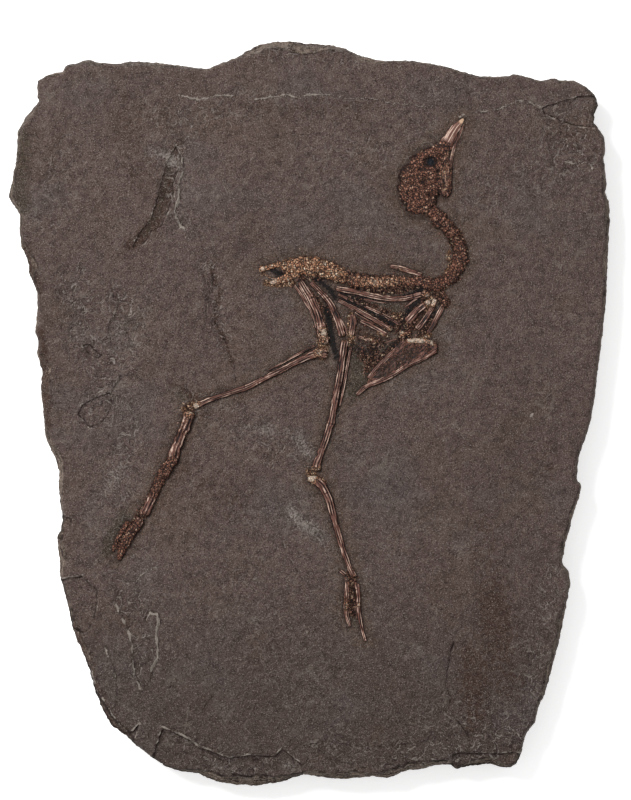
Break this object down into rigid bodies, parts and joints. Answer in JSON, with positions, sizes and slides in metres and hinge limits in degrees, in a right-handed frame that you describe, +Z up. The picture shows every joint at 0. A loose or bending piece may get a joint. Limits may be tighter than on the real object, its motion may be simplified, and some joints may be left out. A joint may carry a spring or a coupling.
{
  "type": "fossil bird slab",
  "caption": "Thin slab of dark oil shale, broken all round, with the flattened skeleton of a long-legged rail-like bird on its upper face.",
  "frame": {"origin": "middle of the slab's footprint (its bounding box), on the face that it rests on", "axes": "+Z up out of the face with the skeleton, +Y towards the slab's top edge, where the bird's bill points, +X to the viewer's right"},
  "size_m": [0.301, 0.3728, 0.0214],
  "materials": {
    "shale": "matt, split along its layers, with fine pale dust",
    "bone": "mineralised, dark red-brown, slight sheen",
    "pale_bone": "mineralised, tan to cream, granular"
  },
  "bodies": {
    "root": {"slab": "shale", "skull": "bone", "lower_jaw": "bone", "neck_vertebra_01": "bone", "neck_vertebra_02": "bone", "neck_vertebra_03": "bone", "neck_vertebra_04": "bone", "neck_vertebra_05": "bone", "neck_vertebra_06": "bone", "neck_vertebra_07": "bone", "neck_vertebra_08": "bone", "neck_vertebra_09": "bone", "neck_vertebra_10": "bone", "neck_vertebra_11": "bone", "neck_vertebra_12": "bone", "back_vertebra_1": "bone", "back_vertebra_2": "bone", "back_vertebra_3": "bone", "back_vertebra_4": "bone", "back_vertebra_5": "bone", "back_vertebra_6": "bone", "back_vertebra_7": "bone", "tail_vertebra_1": "pale_bone", "tail_vertebra_2": "pale_bone", "tail_vertebra_3": "pale_bone", "tail_vertebra_4": "pale_bone", "pelvis": "pale_bone", "sternum": "bone", "scapula": "bone", "humerus": "bone", "radius": "bone", "ulna": "bone", "wing_hand": "bone", "coracoid_near": "bone", "coracoid_far": "bone", "furcula": "bone", "rib_1": "bone", "rib_2": "bone", "rib_3": "bone", "pubis": "bone", "femur_rear": "bone", "tibiotarsus_rear": "bone", "fibula_rear": "bone", "tarsometatarsus_rear": "bone", "toe_rear_1": "bone", "toe_rear_2": "bone", "femur_front": "bone", "tibiotarsus_front": "bone", "fibula_front": "bone", "tarsometatarsus_front": "bone", "toe_front_1": "bone", "toe_front_2": "bone", "toe_front_3": "bone"}
  },
  "joints": []
}
